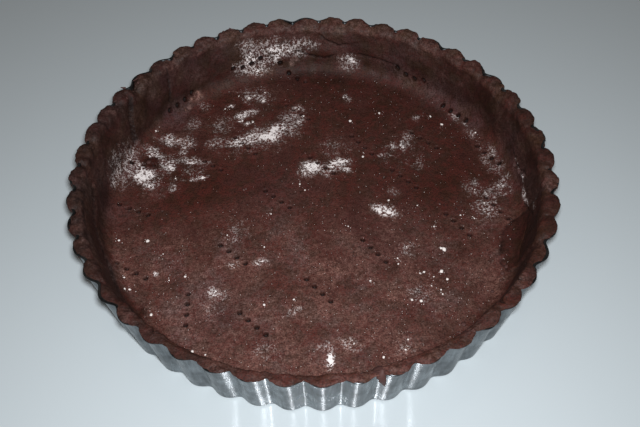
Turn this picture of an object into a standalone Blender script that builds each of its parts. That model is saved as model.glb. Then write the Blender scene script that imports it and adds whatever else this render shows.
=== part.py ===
"""Unfilled chocolate shortcrust tart case, docked with a fork, in its fluted tart tin.

Metres, +Z up. The origin is the centre of the tin's flat underside, and one
flute crest of the tin points along +X.
"""
import math

import bmesh
import bpy
from mathutils import Matrix, Vector

MM = 0.001

# The tin: a 28 cm pressed tinplate tart tin, 4 cm high.
TIN_RADIUS = 140 * MM
TIN_HEIGHT = 40 * MM
TIN_BASE_RADIUS = 133.2 * MM
SHEET = 0.7 * MM
FLUTES = 48
FLUTE_DEPTH_RIM = 3.5 * MM
FLUTE_DEPTH_BASE = 2.5 * MM
CREST_BREADTH = 0.62
LIP_OUT = 1.0 * MM
LIP_DEPTH = 1.1 * MM
CORNER_HEIGHT = 2.4 * MM
STEPS_PER_FLUTE = 6

# The dough: pressed into every flute, thick in the corner, and cut off at the rim.
FLUTE_GAP = 0.42 * MM
FLOOR_GAP = 0.3 * MM
FLOOR_Z = 5.0 * MM
FLOOR_RADIUS = 115 * MM
RIM_Z = 39.2 * MM
RIM_ROUNDING = 1.2 * MM
KNOB_RISE = 1.4 * MM
WALL_STEPS = 96
WALL_PROFILE = (
    (FLOOR_RADIUS, FLOOR_Z),
    (121.0 * MM, 6.4 * MM),
    (125.0 * MM, 10.0 * MM),
    (127.3 * MM, 16.0 * MM),
    (129.0 * MM, 26.0 * MM),
    (131.4 * MM, 41.0 * MM),
)
CUT_CLEAR = 12 * MM

# Waves of the hand-pressed wall and rim: (waves round the case, height, phase in degrees).
WALL_WAVES = ((5, 0.7 * MM, 40), (11, 0.5 * MM, 200), (23, 0.35 * MM, 95))
RIM_WAVES = ((7, 0.35 * MM, 10), (17, 0.30 * MM, 150), (29, 0.2 * MM, 60))

# Lumps pressed onto the wall: (angle, height, breadth, rise, how far the lump stands in).
WALL_LUMPS = (
    (83, 32 * MM, 13 * MM, 6 * MM, 1.8 * MM),
    (88, 21 * MM, 20 * MM, 6 * MM, 1.3 * MM),
    (112, 27 * MM, 12 * MM, 9 * MM, 1.2 * MM),
    (132, 22 * MM, 16 * MM, 10 * MM, 1.4 * MM),
    (157, 22 * MM, 20 * MM, 14 * MM, 2.2 * MM),
    (205, 30 * MM, 26 * MM, 8 * MM, 1.2 * MM),
    (338, 14 * MM, 24 * MM, 10 * MM, 3.2 * MM),
    (18, 24 * MM, 18 * MM, 10 * MM, 1.3 * MM),
    (57, 26 * MM, 22 * MM, 9 * MM, 1.2 * MM),
)

# Low places of the rim, where the dough stops short of the tin's edge: (angle, breadth, drop).
RIM_DIPS = (
    (146, 12 * MM, 3.2 * MM),
    (238, 7 * MM, 1.2 * MM),
    (306, 9 * MM, 1.0 * MM),
)

# Fork marks: (x, y, heading in degrees, holes). The tines stand 6.75 mm apart.
TINE_PITCH = 6.75 * MM
HOLE_RADIUS = 0.85 * MM
HOLE_DEPTH = 2.4 * MM
HOLE_SIDES = 6
FORK_MARKS = (
    (-22 * MM, 7 * MM, -43, 4),
    (34 * MM, -36 * MM, -53, 4),
    (0 * MM, -62 * MM, -50, 4),
    (85 * MM, -19 * MM, -55, 4),
    (-48 * MM, -34 * MM, -43, 4),
    (-36 * MM, -82 * MM, -45, 4),
    (-73 * MM, -71 * MM, -90, 4),
    (-106 * MM, -43 * MM, -32, 4),
    (-110 * MM, 3 * MM, -27, 4),
    (-41 * MM, 120 * MM, 20, 4),
    (-85 * MM, 90 * MM, -134, 4),
    (-63 * MM, 37 * MM, -37, 3),
    (-111 * MM, 40 * MM, -8, 4),
    (-43 * MM, 54 * MM, -48, 4),
    (-8 * MM, 83 * MM, -45, 4),
    (6 * MM, 34 * MM, -45, 4),
    (33 * MM, 50 * MM, -54, 4),
    (74 * MM, 52 * MM, -45, 4),
    (58 * MM, 19 * MM, -49, 4),
    (-10 * MM, 119 * MM, -32, 4),
    (70 * MM, 104 * MM, -35, 4),
    (97 * MM, 74 * MM, -50, 4),
    (113 * MM, 36 * MM, -59, 4),
    (126 * MM, 11 * MM, -81, 3),
    (111 * MM, -7 * MM, -60, 4),
)

# Splits in the dough: (angle, inner radius, outer radius, floor of the split, width).
SPLITS = (
    (277.6, 128.5 * MM, 135.0 * MM, 36.2 * MM, 0.9 * MM),
    (149.5, 126.0 * MM, 130.2 * MM, 13.0 * MM, 0.9 * MM),
)
SPLIT_TOP = 48 * MM

# A torn tongue of dough that hangs over the tin's edge in one flute valley.
TONGUE_ANGLE = 281.25
TONGUE_WIDTH = 4.2 * MM
TONGUE_TIP_WIDTH = 1.2 * MM
TONGUE_THICKNESS = 1.1 * MM
TONGUE_PATH = (
    (132.4 * MM, 36.8 * MM),
    (132.4 * MM, 39.2 * MM),
    (133.4 * MM, 41.0 * MM),
    (135.4 * MM, 41.6 * MM),
    (137.6 * MM, 41.2 * MM),
    (138.8 * MM, 39.5 * MM),
    (139.0 * MM, 36.8 * MM),
    (138.7 * MM, 34.0 * MM),
)


def crest_share(angle):
    """1 on a flute's crest and 0 in its valley, with crests broader than valleys."""
    return (0.5 + 0.5 * math.cos(FLUTES * angle)) ** CREST_BREADTH


def angle_of(point):
    return math.atan2(point.y, point.x)


def at(radius, angle, height):
    return Vector((radius * math.cos(angle), radius * math.sin(angle), height))


def arc_between(angle_a, angle_b):
    """Signed difference of two angles, from -pi to pi."""
    return (angle_a - angle_b + math.pi) % (2 * math.pi) - math.pi


def bell(distance, breadth):
    return math.exp(-4 * (distance / breadth) ** 2)


def ringed_form(steps, rings):
    """A closed form from a stack of rings, each a function from angle to point.

    The twisted quads of a flute split along their shorter diagonal, so that two
    fluted walls of like shape keep an even gap.
    """
    bm = bmesh.new()
    circle = bmesh.ops.create_circle(bm, cap_ends=True, segments=steps, radius=1)
    ring = circle["verts"]
    edges = [e for e in bm.edges if len(e.link_faces) < 2]
    for number, place in enumerate(rings):
        if number:
            made = bmesh.ops.extrude_edge_only(bm, edges=edges)["geom"]
            ring = [g for g in made if isinstance(g, bmesh.types.BMVert)]
            edges = [g for g in made if isinstance(g, bmesh.types.BMEdge)]
        for vert in ring:
            vert.co = place(angle_of(vert.co))
    bmesh.ops.holes_fill(bm, edges=edges, sides=steps)
    quads = [f for f in bm.faces if len(f.verts) == 4]
    bmesh.ops.triangulate(bm, faces=quads, quad_method="SHORT_EDGE")
    bmesh.ops.recalc_face_normals(bm, faces=bm.faces)
    return bm


def fluted_ring(crest, depth, height):
    return lambda angle: at(crest - depth * (1 - crest_share(angle)), angle, height)


def flute_depth(height):
    share = min(max(height / TIN_HEIGHT, 0), 1)
    return FLUTE_DEPTH_BASE + (FLUTE_DEPTH_RIM - FLUTE_DEPTH_BASE) * share


def tin_crest(height):
    """Radius of the tin wall's outer face on a crest, without the lip."""
    top = TIN_RADIUS - LIP_OUT
    share = (height - CORNER_HEIGHT) / (TIN_HEIGHT - CORNER_HEIGHT)
    return TIN_BASE_RADIUS + (top - TIN_BASE_RADIUS) * share


def finish(name, bm, collection, material=None):
    mesh = bpy.data.meshes.new(name)
    bm.to_mesh(mesh)
    bm.free()
    mesh.shade_smooth()
    mesh.set_sharp_from_angle(angle=math.radians(40))
    if material:
        mesh.materials.append(material)
    thing = bpy.data.objects.new(name, mesh)
    collection.objects.link(thing)
    return thing


def plain_material(name, colour, roughness, metallic):
    made = bpy.data.materials.new(name)
    made.use_nodes = True
    shader = made.node_tree.nodes["Principled BSDF"]
    shader.inputs["Base Color"].default_value = (*colour, 1)
    shader.inputs["Roughness"].default_value = roughness
    shader.inputs["Metallic"].default_value = metallic
    made.diffuse_color = (*colour, 1)
    return made


def tart_tin(collection):
    """Fluted sheet-metal wall and flat base in one, with a narrow turned-out lip."""
    under_lip = TIN_HEIGHT - LIP_DEPTH
    corner = CORNER_HEIGHT
    base_flute = FLUTE_DEPTH_BASE
    rings = (
        fluted_ring(TIN_BASE_RADIUS - 2.7 * MM, base_flute * 0.6, 0),
        fluted_ring(TIN_BASE_RADIUS - 0.6 * MM, base_flute * 0.9, corner * 0.3),
        fluted_ring(TIN_BASE_RADIUS, flute_depth(corner), corner),
        fluted_ring(tin_crest(under_lip), flute_depth(under_lip), under_lip),
        fluted_ring(TIN_RADIUS, FLUTE_DEPTH_RIM, TIN_HEIGHT - LIP_DEPTH * 0.6),
        fluted_ring(TIN_RADIUS - 0.3 * MM, FLUTE_DEPTH_RIM, TIN_HEIGHT),
        fluted_ring(tin_crest(TIN_HEIGHT) - SHEET, FLUTE_DEPTH_RIM, TIN_HEIGHT),
        fluted_ring(TIN_BASE_RADIUS - SHEET, flute_depth(corner), corner + 0.2 * MM),
        fluted_ring(TIN_BASE_RADIUS - 3.2 * MM, base_flute * 0.6, SHEET),
    )
    tin = ringed_form(FLUTES * STEPS_PER_FLUTE, rings)
    grey = plain_material("tinplate", (0.42, 0.45, 0.47), 0.3, 1)
    finish("tart_tin", tin, collection, grey)


def waves(angle, list_of_waves):
    return sum(height * math.sin(count * angle + math.radians(phase)) for count, height, phase in list_of_waves)


def rim_height(angle):
    """Height of the cut rim, which stands up in a knob on each flute's crest."""
    drop = sum(
        depth * bell(arc_between(angle, math.radians(where)) * TIN_RADIUS, breadth)
        for where, breadth, depth in RIM_DIPS
    )
    return RIM_Z + KNOB_RISE * crest_share(angle) + waves(angle, RIM_WAVES) - drop


def dough_outside(collection):
    """The dough as a solid block that fills the tin, before its hollow is cut."""

    def crest(height):
        return tin_crest(height) - SHEET - FLUTE_GAP

    def shoulder(angle):
        height = rim_height(angle) - RIM_ROUNDING
        radius = crest(height) - flute_depth(height) * (1 - crest_share(angle))
        return at(radius, angle, height)

    def rim_edge(angle):
        height = rim_height(angle)
        radius = crest(height) - flute_depth(height) * (1 - crest_share(angle))
        return at(radius - RIM_ROUNDING, angle, height)

    def rim_inside(angle):
        return at(FLOOR_RADIUS, angle, RIM_Z)

    base_flute = FLUTE_DEPTH_BASE
    corner = CORNER_HEIGHT + 0.8 * MM
    rings = (
        fluted_ring(TIN_BASE_RADIUS - 4.1 * MM, base_flute * 0.6, SHEET + FLOOR_GAP),
        fluted_ring(crest(corner), flute_depth(corner), corner),
        shoulder,
        rim_edge,
        rim_inside,
    )
    dough = ringed_form(FLUTES * STEPS_PER_FLUTE, rings)
    brown = plain_material("cocoa_dough", (0.062, 0.024, 0.018), 0.8, 0)
    return finish("pastry_case", dough, collection, brown)


def wall_bulge(angle, height):
    """How far the wall stands in towards the middle, beyond the plain profile."""
    total = 0
    for where, level, breadth, rise, push in WALL_LUMPS:
        along = arc_between(angle, math.radians(where)) * FLOOR_RADIUS
        total += push * bell(along, breadth) * bell(height - level, rise)
    return total


def hollow(cutters):
    """Cutter for the case's inside: floor, thick corner and uneven wall."""

    def ring(radius, height):
        def place(angle):
            lift = min(max((height - FLOOR_Z) / (12 * MM), 0), 1)
            uneven = lift * waves(angle, WALL_WAVES)
            return at(radius + uneven - wall_bulge(angle, height), angle, height)

        return place

    top_radius, top_height = WALL_PROFILE[-1]
    rings = [ring(radius, height) for radius, height in WALL_PROFILE]
    rings.append(ring(top_radius, top_height + CUT_CLEAR))
    return finish("hollow", ringed_form(WALL_STEPS, rings), cutters)


def surface_under(radius):
    """Height and outward slope of the case's inside at a radius."""
    inner = WALL_PROFILE[0]
    for outer in WALL_PROFILE[1:]:
        if radius <= inner[0]:
            return FLOOR_Z, 0.0
        if radius <= outer[0]:
            slope = (outer[1] - inner[1]) / (outer[0] - inner[0])
            return inner[1] + slope * (radius - inner[0]), math.atan(slope)
        inner = outer
    return inner[1], math.pi / 2


def fork_holes(cutters):
    """Cutter for all the tine holes, each square to the surface it goes into."""
    bm = bmesh.new()
    clear = 1.5 * MM
    for x, y, heading, holes in FORK_MARKS:
        along = Vector((math.cos(math.radians(heading)), math.sin(math.radians(heading)), 0))
        for number in range(holes):
            spot = Vector((x, y, 0)) + along * TINE_PITCH * (number - (holes - 1) / 2)
            angle = angle_of(spot)
            height, slope = surface_under(spot.length)
            into = at(math.sin(slope), angle, -math.cos(slope))
            middle = Vector((spot.x, spot.y, height)) + into * (HOLE_DEPTH - clear) / 2
            turn = into.to_track_quat("-Z", "Y").to_matrix().to_4x4()
            bmesh.ops.create_cone(
                bm,
                cap_ends=True,
                segments=HOLE_SIDES,
                radius1=HOLE_RADIUS * 0.8,
                radius2=HOLE_RADIUS * 1.1,
                depth=HOLE_DEPTH + clear,
                matrix=Matrix.Translation(middle) @ turn,
            )
    return finish("fork_holes", bm, cutters)


def splits(cutters):
    """Cutter for the splits: one thin upright plate each."""
    bm = bmesh.new()
    for angle, inner, outer, floor, width in SPLITS:
        size = Vector((outer - inner, width, SPLIT_TOP - floor))
        middle = Vector(((inner + outer) / 2, 0, (SPLIT_TOP + floor) / 2))
        turn = Matrix.Rotation(math.radians(angle), 4, "Z")
        place = turn @ Matrix.Translation(middle) @ Matrix.Diagonal(size).to_4x4()
        bmesh.ops.create_cube(bm, size=1, matrix=place)
    return finish("splits", bm, cutters)


def tongue(cutters):
    """The torn tongue as a bent strip that narrows to its tip."""
    bm = bmesh.new()
    last = len(TONGUE_PATH) - 1
    bmesh.ops.create_grid(bm, x_segments=last, y_segments=2, size=1)
    for vert in bm.verts:
        step = round((vert.co.x + 1) / 2 * last)
        radius, height = TONGUE_PATH[step]
        half = TONGUE_WIDTH / 2 + (TONGUE_TIP_WIDTH - TONGUE_WIDTH) / 2 * (step / last) ** 2
        side = vert.co.y * half / radius
        vert.co = at(radius, math.radians(TONGUE_ANGLE) + side, height)
    bmesh.ops.recalc_face_normals(bm, faces=bm.faces)
    strip = finish("tongue", bm, cutters)
    wall = strip.modifiers.new("thickness", "SOLIDIFY")
    wall.thickness = TONGUE_THICKNESS
    wall.offset = 0
    return strip


def pastry_case(collection, cutters):
    dough = dough_outside(collection)
    steps = (
        (hollow(cutters), "DIFFERENCE"),
        (fork_holes(cutters), "DIFFERENCE"),
        (splits(cutters), "DIFFERENCE"),
        (tongue(cutters), "UNION"),
    )
    for tool, operation in steps:
        tool.hide_render = True
        tool.display_type = "WIRE"
        cut = dough.modifiers.new(tool.name, "BOOLEAN")
        cut.operation = operation
        cut.object = tool


for thing in list(bpy.data.objects):
    bpy.data.objects.remove(thing, do_unlink=True)

tart = bpy.data.collections.new("chocolate_tart_case")
tools = bpy.data.collections.new("cutters")
for group in (tart, tools):
    bpy.context.scene.collection.children.link(group)

tart_tin(tart)
pastry_case(tart, tools)
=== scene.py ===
"""Unfilled chocolate shortcrust tart case in its fluted tart tin, docked and floured."""
import math
import random

import bmesh
import bpy
from mathutils import Matrix, Vector, noise
from mathutils.bvhtree import BVHTree


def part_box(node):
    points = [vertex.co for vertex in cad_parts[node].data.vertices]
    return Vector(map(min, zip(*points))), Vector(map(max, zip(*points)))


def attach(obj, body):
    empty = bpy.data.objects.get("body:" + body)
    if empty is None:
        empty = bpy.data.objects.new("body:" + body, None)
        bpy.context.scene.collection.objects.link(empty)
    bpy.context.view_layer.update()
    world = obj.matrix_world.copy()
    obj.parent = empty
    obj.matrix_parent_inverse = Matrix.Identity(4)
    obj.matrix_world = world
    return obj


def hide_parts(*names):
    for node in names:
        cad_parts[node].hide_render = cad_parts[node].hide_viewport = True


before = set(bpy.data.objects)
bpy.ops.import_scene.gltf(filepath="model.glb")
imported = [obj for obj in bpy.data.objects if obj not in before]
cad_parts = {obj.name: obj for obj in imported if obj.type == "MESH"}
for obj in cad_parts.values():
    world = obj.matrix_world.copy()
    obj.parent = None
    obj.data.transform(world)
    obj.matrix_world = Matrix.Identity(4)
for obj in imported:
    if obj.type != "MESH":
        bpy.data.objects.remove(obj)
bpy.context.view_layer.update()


# Tart tin. One round of tinplate, drawn in a press into a flat base and a wall of
# 48 flutes that stiffen it. The cut edge is turned outward into a narrow lip, and
# the drawing leaves faint upright streaks in the satin finish.
MM = 0.001
TIN_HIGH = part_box("tart_tin")[1]
RIM_RADIUS = TIN_HIGH.x
RIM_HEIGHT = TIN_HIGH.z
BASE_RADIUS = 133.2 * MM
SHEET = 0.7 * MM
LIP_OUT = 1.0 * MM
LIP_HEIGHT = 1.0 * MM
CORNER = 2.4 * MM
FLUTES = 48
FLUTE_DEPTH_RIM = 3.5 * MM
FLUTE_DEPTH_BASE = 2.8 * MM
BASE_FLUTE = FLUTE_DEPTH_BASE * 0.6
FOOT_INSET = 2.6 * MM
FLAT_FLANK = 0.35
CREST_BREADTH = 0.28
DENT = 0.08 * MM
DENT_SIZE = 30 * MM
TIN_STEPS = FLUTES * 24
SHARP_ANGLE = math.radians(50)


def crest_share(angle):
    """1 on a flute's crest and 0 in its valley, with flat flanks and broader crests than valleys."""
    turn = FLUTES * angle
    wave = math.cos(turn - CREST_BREADTH * math.sin(turn))
    return 0.5 + 0.5 * math.asin(FLAT_FLANK * wave) / math.asin(FLAT_FLANK)


def at(radius, angle, height):
    return Vector((radius * math.cos(angle), radius * math.sin(angle), height))


def angle_of(point):
    return math.atan2(point.y, point.x)


def flute_depth(height):
    share = min(max(height / RIM_HEIGHT, 0), 1)
    return FLUTE_DEPTH_BASE + (FLUTE_DEPTH_RIM - FLUTE_DEPTH_BASE) * share


def tin_crest(height):
    """Radius of the wall's outer face on a crest, leaving out the lip."""
    share = (height - CORNER) / (RIM_HEIGHT - CORNER)
    return BASE_RADIUS + (RIM_RADIUS - LIP_OUT - BASE_RADIUS) * share


def tin_ring(crest, height, depth=None):
    depth = flute_depth(height) if depth is None else depth

    def place(angle):
        dent = DENT * (1 + noise.noise(at(9, angle, height / DENT_SIZE)))
        inward = depth * (1 - crest_share(angle))
        return at(crest - inward - dent * min(height / CORNER, 1), angle, height)

    return place


def grow_rings(bm, edges, rings):
    """Extrudes a loop of edges ring after ring; each ring is a function from angle to point."""
    for place in rings:
        made = bmesh.ops.extrude_edge_only(bm, edges=edges)["geom"]
        edges = [g for g in made if isinstance(g, bmesh.types.BMEdge)]
        for vert in (g for g in made if isinstance(g, bmesh.types.BMVert)):
            vert.co = place(angle_of(vert.co))
    return edges


def finish_piece(name, bm, material, slot, *nodes):
    """Turns a bmesh into a smooth-shaded piece that rides on the root body."""
    mesh = bpy.data.meshes.new(name)
    bm.to_mesh(mesh)
    bm.free()
    mesh.materials.append(material)
    mesh.shade_smooth()
    piece = bpy.data.objects.new(name, mesh)
    bpy.context.scene.collection.objects.link(piece)
    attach(piece, "root")
    if nodes:
        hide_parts(*nodes)
    return piece


def tin_profile():
    """Rings from the base's underside up the outside, over the lip and down the inside."""
    foot = BASE_RADIUS - FOOT_INSET
    rings = []
    for step in range(1, 6):
        turn = math.radians(90 * step / 5)
        radius = foot + (BASE_RADIUS - foot) * math.sin(turn)
        depth = BASE_FLUTE + (flute_depth(CORNER) - BASE_FLUTE) * math.sin(turn)
        rings.append(tin_ring(radius, CORNER * (1 - math.cos(turn)), depth))
    lip_foot = RIM_HEIGHT - LIP_HEIGHT
    for step in range(1, 11):
        height = CORNER + (lip_foot - CORNER) * step / 10
        rings.append(tin_ring(tin_crest(height), height))
    lip_radius = LIP_HEIGHT / 2
    middle = RIM_RADIUS - lip_radius
    for step in range(0, 9):
        turn = math.radians(-70 + 20 * step)
        height = RIM_HEIGHT - lip_radius + lip_radius * math.sin(turn)
        rings.append(tin_ring(middle + lip_radius * math.cos(turn), height, FLUTE_DEPTH_RIM))
    rings.append(tin_ring(tin_crest(RIM_HEIGHT) - SHEET * 0.8, RIM_HEIGHT - 0.15 * MM))
    for step in range(0, 8):
        height = RIM_HEIGHT - 0.5 * MM - (RIM_HEIGHT - CORNER - 1 * MM) * step / 7
        rings.append(tin_ring(tin_crest(height) - SHEET, height))
    rings.append(tin_ring(BASE_RADIUS - SHEET - 2.5 * MM, SHEET, BASE_FLUTE))
    return rings


def tart_tin():
    bm = bmesh.new()
    bmesh.ops.create_circle(bm, cap_ends=True, segments=TIN_STEPS, radius=1)
    start = tin_ring(BASE_RADIUS - FOOT_INSET, 0, BASE_FLUTE)
    for vert in bm.verts:
        vert.co = start(angle_of(vert.co))
    edges = grow_rings(bm, list(bm.edges), tin_profile())
    bmesh.ops.holes_fill(bm, edges=edges, sides=TIN_STEPS)
    bmesh.ops.recalc_face_normals(bm, faces=bm.faces)
    piece = finish_piece("tart_tin_drawn", bm, tinplate(), "tinplate", "tart_tin")
    piece.data.set_sharp_from_angle(angle=SHARP_ANGLE)


def node(tree, kind, **values):
    """Adds a node; a value named like an input sets it, any other sets a property."""
    made = tree.nodes.new(kind)
    for name, value in values.items():
        socket = made.inputs.get(name.replace("_", " "))
        if socket is not None:
            socket.default_value = value
        else:
            setattr(made, name, value)
    return made


def grain_group():
    """The grain that every material here uses: noise on the object's own coordinates."""
    group = bpy.data.node_groups.new("grain", "ShaderNodeTree")
    group.interface.new_socket("Stretch", in_out="INPUT", socket_type="NodeSocketVector")
    for name in ("Fineness", "Detail", "Roughness"):
        group.interface.new_socket(name, in_out="INPUT", socket_type="NodeSocketFloat")
    group.interface.new_socket("Grain", in_out="OUTPUT", socket_type="NodeSocketFloat")
    asked = node(group, "NodeGroupInput")
    given = node(group, "NodeGroupOutput")
    where = node(group, "ShaderNodeTexCoord")
    scale = node(group, "ShaderNodeMapping")
    made = node(group, "ShaderNodeTexNoise")
    group.links.new(where.outputs["Object"], scale.inputs["Vector"])
    group.links.new(asked.outputs["Stretch"], scale.inputs["Scale"])
    group.links.new(scale.outputs["Vector"], made.inputs["Vector"])
    for name, socket in (("Fineness", "Scale"), ("Detail", "Detail"), ("Roughness", "Roughness")):
        group.links.new(asked.outputs[name], made.inputs[socket])
    group.links.new(made.outputs["Fac"], given.inputs["Grain"])
    return group


GRAIN = grain_group()


def grain(tree, size, detail=2.0, stretch=(1, 1, 1), roughness=0.5):
    """Places the grain in a material, with a feature size in metres."""
    made = node(tree, "ShaderNodeGroup", node_tree=GRAIN)
    made.inputs["Stretch"].default_value = stretch
    made.inputs["Fineness"].default_value = 1 / size
    made.inputs["Detail"].default_value = detail
    made.inputs["Roughness"].default_value = roughness
    return made.outputs["Grain"]


def remap(tree, value, low, high, to_low=0.0, to_high=1.0):
    made = node(tree, "ShaderNodeMapRange")
    tree.links.new(value, made.inputs["Value"])
    made.inputs["From Min"].default_value = low
    made.inputs["From Max"].default_value = high
    made.inputs["To Min"].default_value = to_low
    made.inputs["To Max"].default_value = to_high
    return made.outputs["Result"]


def combine(tree, operation, first, second):
    made = node(tree, "ShaderNodeMath", operation=operation)
    for socket, value in zip(made.inputs, (first, second)):
        if isinstance(value, (int, float)):
            socket.default_value = value
        else:
            tree.links.new(value, socket)
    return made.outputs[0]


def blend_colours(tree, share, first, second):
    made = node(tree, "ShaderNodeMix", data_type="RGBA")
    factor, colour_a, colour_b = made.inputs[0], made.inputs[6], made.inputs[7]
    for socket, value in ((factor, share), (colour_a, first), (colour_b, second)):
        if isinstance(value, tuple):
            socket.default_value = (*value, 1)
        elif isinstance(value, (int, float)):
            socket.default_value = value
        else:
            tree.links.new(value, socket)
    return made.outputs[2]


def bump(tree, height, depth, onto=None):
    made = node(tree, "ShaderNodeBump", Strength=1.0, Distance=depth)
    tree.links.new(height, made.inputs["Height"])
    if onto is not None:
        tree.links.new(onto, made.inputs["Normal"])
    return made.outputs["Normal"]


def new_material(name, **shader_values):
    """A material with its Principled shader's constant values set."""
    made = bpy.data.materials.new(name)
    made.use_nodes = True
    shader = made.node_tree.nodes["Principled BSDF"]
    for key, value in shader_values.items():
        shader.inputs[key.replace("_", " ")].default_value = value
    return made, made.node_tree, shader


def tinplate():
    made, tree, shader = new_material("tinplate", Metallic=1.0, Anisotropic=0.75, Anisotropic_Rotation=0.25)
    streaks = grain(tree, 1.6 * MM, 3, stretch=(1, 1, 0.05))
    clouds = grain(tree, 14 * MM, 4, roughness=0.6)
    fine = grain(tree, 0.5 * MM, 2)
    streaky = remap(tree, streaks, 0.3, 0.7, 0, 0.4)
    dull = combine(tree, "ADD", streaky, remap(tree, clouds, 0.35, 0.65, 0, 0.6))
    colour = blend_colours(tree, dull, (0.215, 0.24, 0.256), (0.035, 0.041, 0.046))
    tree.links.new(colour, shader.inputs["Base Color"])
    tree.links.new(remap(tree, dull, 0, 1, 0.24, 0.32), shader.inputs["Roughness"])
    where = node(tree, "ShaderNodeTexCoord")
    round_tin = node(tree, "ShaderNodeVectorMath", operation="CROSS_PRODUCT")
    round_tin.inputs[0].default_value = (0, 0, 1)
    tree.links.new(where.outputs["Object"], round_tin.inputs[1])
    tree.links.new(round_tin.outputs["Vector"], shader.inputs["Tangent"])
    normal = bump(tree, streaks, 0.03 * MM)
    normal = bump(tree, fine, 0.006 * MM, normal)
    tree.links.new(normal, shader.inputs["Normal"])
    return made


tart_tin()


# Pastry case. Raw cocoa shortcrust, rolled to about 4 mm, laid in the tin and pressed
# with the fingers into the corner and every flute, then cut off along the rim. It is
# one piece of dough; folds, pressed-on lumps and tears are left as the hands made them.
FLOOR_TOP = 5.0 * MM
FLOOR_EDGE = 114.0 * MM
CORNER_RADIUS = 11.0 * MM
CORNER_MIDDLE = 115.6 * MM
CORNER_HEIGHT = FLOOR_TOP + CORNER_RADIUS
WALL_LEAN = math.radians(10.6)
WALL_FOOT = CORNER_MIDDLE + CORNER_RADIUS * math.cos(WALL_LEAN)
WALL_FOOT_HEIGHT = CORNER_HEIGHT - CORNER_RADIUS * math.sin(WALL_LEAN)
WALL_MARKS_START = 119 * MM
RIM_INNER = 130.6 * MM
RIM_TOP = 40.1 * MM
INNER_ROUND = 4.2 * MM
INNER_DROP = 5.0 * MM
KNOB_EDGE = 1.0 * MM
KNOB_SIDE = 0.6 * MM
KNOB_TOP = 41.2 * MM
DOUGH_GAP = 0.12 * MM
DOUGH_STEPS = FLUTES * 18
CELL = 1.12 * MM
BUCKET = 10.0

# Waves of the rim's height: (waves round the case, height, phase in degrees).
RIM_WAVES = ((7, 0.35 * MM, 10), (17, 0.30 * MM, 150), (29, 0.2 * MM, 60))

# Rim where the dough stops short of the tin's edge: (angle, breadth, drop).
RIM_DIPS = (
    (146, 12 * MM, 3.2 * MM),
    (216, 65 * MM, 1.1 * MM),
    (238, 7 * MM, 1.2 * MM),
    (306, 9 * MM, 1.0 * MM),
    (330, 40 * MM, 0.6 * MM),
)

# Lumps on the wall: (angle, height, breadth, rise, how far the lump stands in).
WALL_LUMPS = (
    (82.0, 33 * MM, 14 * MM, 10 * MM, 2.2 * MM),
    (84.6, 21 * MM, 13 * MM, 8 * MM, 1.8 * MM),
    (112.0, 27 * MM, 14 * MM, 12 * MM, 1.2 * MM),
    (139.8, 26 * MM, 12 * MM, 12 * MM, 1.8 * MM),
    (159.0, 27 * MM, 16 * MM, 16 * MM, 2.0 * MM),
    (205.0, 31 * MM, 30 * MM, 9 * MM, 1.2 * MM),
    (147.0, 28 * MM, 9 * MM, 16 * MM, 2.0 * MM),
    (25.0, 29 * MM, 17 * MM, 15 * MM, 2.2 * MM),
    (57.0, 26 * MM, 24 * MM, 11 * MM, 1.1 * MM),
)

# Folds: an edge of dough lies over a groove. (points as (angle, height), lift of the
# edge, how far back the lift fades, depth of the groove, its half width)
FOLDS = (
    (((149.0, 39), (150.7, 31), (152.2, 24), (153.2, 17), (153.6, 12)), 2.2, 8, 1.3, 1.5),
    (((85.4, 32.5), (84.2, 30), (82.4, 28), (80.0, 26), (77.8, 27.5)), 0.9, 5, 1.5, 0.9),
    (((92.6, 21), (91.0, 19), (88.3, 17.5), (84.3, 15.6), (81.6, 18)), 0.9, 6, 1.5, 0.9),
    (((73.5, 21), (70.5, 20.5), (66.0, 19.5), (61.0, 18.5)), 0.7, 5, 1.0, 0.8),
    (((134.6, 37), (134.9, 30), (135.8, 22), (137.2, 16)), 0.5, 4, 0.7, 0.8),
    (((12.0, 20), (8.6, 16.5), (5.4, 18), (2.5, 22)), 0.6, 3, 0.8, 0.7),
    (((357.0, 18), (355.0, 12.5), (350.8, 19), (347.0, 25)), 0.7, 3, 1.0, 0.8),
    (((179.0, 27), (183.1, 23), (189.2, 20.5), (195.0, 15), (201.0, 10.5), (209.0, 11)), 0.8, 5, 1.5, 1.5),
    (((219.0, 33), (223.7, 34), (226.5, 35), (229.5, 35), (232.5, 36)), 0.5, 3, 2.4, 1.5),
    (((345.6, 18), (343.0, 14), (339.0, 12), (335.5, 14)), 0.5, 3, 1.2, 0.9),
)

# Splits in the rim, as (angle, half width, inner radius, outer radius).
SPLITS = (
    (277.8, 0.7 * MM, 128 * MM, 135.5 * MM),
    (321.0, 0.7 * MM, 129 * MM, 135 * MM),
    (313.5, 0.6 * MM, 130 * MM, 136 * MM),
    (232.0, 0.6 * MM, 130 * MM, 135 * MM),
)

# Flaps of dough that lie on the rest: (thickness, corners in plan).
FLAPS = (
    (1.3 * MM, ((117.5, -19.5), (113, -25), (110, -33), (107.5, -41), (106.5, -49), (110, -56), (120, -60),
                (133, -52), (136, -30), (124.5, -18.5))),
    (0.6 * MM, ((-97, -67.5), (-94, -84), (-97, -92), (-103, -88), (-100, -78))),
    (0.9 * MM, ((-107, 39), (-106, 44), (-102, 45.5), (-98, 42), (-99, 37.5), (-103, 36))),
)

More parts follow.
